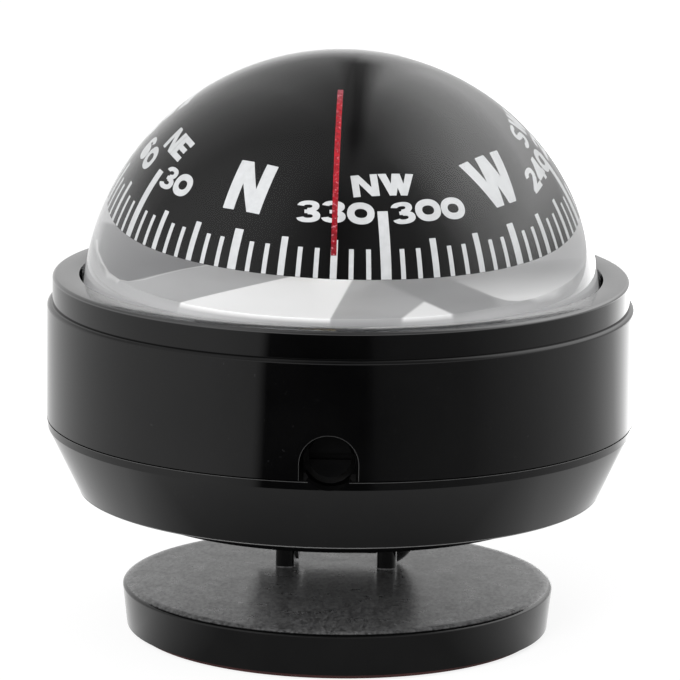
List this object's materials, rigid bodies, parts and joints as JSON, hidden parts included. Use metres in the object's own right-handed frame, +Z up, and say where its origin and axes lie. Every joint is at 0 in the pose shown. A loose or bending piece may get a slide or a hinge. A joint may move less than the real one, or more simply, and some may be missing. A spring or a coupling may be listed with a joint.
{
  "type": "dashboard compass",
  "caption": "Liquid-filled ball compass for a car dashboard, in a round housing that tilts on an adhesive disc foot.",
  "frame": {"origin": "centre of the underside of the adhesive foot", "axes": "+Z up along the foot's axis, front of the compass (red line) towards -Y, +X to the viewer's right"},
  "size_m": [0.068, 0.068, 0.068],
  "materials": {
    "foot_plastic": "fine satin grain",
    "adhesive_foam": "foam with a dull red release film",
    "plated_steel": "zinc plated",
    "black_steel": "blackened, satin",
    "gloss_black": "polished",
    "bezel_black": "satin on top, polished side",
    "rubber": "matt",
    "clear_acrylic": "clear, polished",
    "pale_plastic": "glossy pale grey",
    "red_line": "raised red paint",
    "inner_plastic": "moulded",
    "brass": "turned",
    "magnet_alloy": "ground",
    "jewel_red": "polished",
    "card_black": "satin black with white marks"
  },
  "bodies": {
    "foot": {"base_plate": "foot_plastic", "adhesive_pad": "adhesive_foam", "hinge_nut": "plated_steel", "spring_washer": "plated_steel"},
    "clamp_screw": {"hinge_screw": "black_steel"},
    "housing": {"bottom_cover": "gloss_black", "cover_screws": "plated_steel", "lower_bowl": "gloss_black", "housing_screws": "plated_steel", "main_ring": "gloss_black", "bezel_ring": "bezel_black", "dome_gasket": "rubber", "dome": "clear_acrylic", "chamber_floor": "pale_plastic", "expansion_diaphragm": "rubber", "diaphragm_retainer": "pale_plastic", "fill_plug": "pale_plastic", "pivot_post": "clear_acrylic", "pivot_needle": "plated_steel", "lubber_line": "red_line", "compensator_cradle": "inner_plastic", "cradle_screws": "plated_steel"},
    "compensator": {"compensator_rotor": "black_steel", "compensator_magnet": "magnet_alloy"},
    "jewel": {"pivot_jewel": "jewel_red"},
    "bush": {"jewel_holder": "brass"},
    "card": {"card_dial": "card_black", "card_spider": "pale_plastic", "card_magnets": "magnet_alloy"}
  },
  "joints": [
    {"name": "housing_tilt", "type": "hinge", "parent": "foot", "child": "housing", "pos_m": [0, 0.0085, 0.01015], "axis": [1, 0, 0], "range_deg": [-28, 14]},
    {"name": "clamp_screw_turn", "type": "hinge", "parent": "foot", "child": "clamp_screw", "pos_m": [0, 0.0085, 0.01015], "axis": [1, 0, 0], "continuous": true},
    {"name": "compensator_turn", "type": "hinge", "parent": "housing", "child": "compensator", "pos_m": [0, -0.0209, 0.0271], "axis": [0, -1, 0], "continuous": true},
    {"name": "card_pitch", "type": "hinge", "parent": "housing", "child": "jewel", "pos_m": [0, 0, 0.0468], "axis": [1, 0, 0], "range_deg": [-8.3, 7.7], "stiffness_Nm_per_rad": 0.0015},
    {"name": "card_roll", "type": "hinge", "parent": "jewel", "child": "bush", "pos_m": [0, 0, 0.0468], "axis": [0, 1, 0], "range_deg": [-9.2, 6.8], "stiffness_Nm_per_rad": 0.0015},
    {"name": "card_spin", "type": "hinge", "parent": "bush", "child": "card", "pos_m": [0, 0, 0.0468], "axis": [0.0209, -0.0052, 0.9998], "continuous": true}
  ]
}
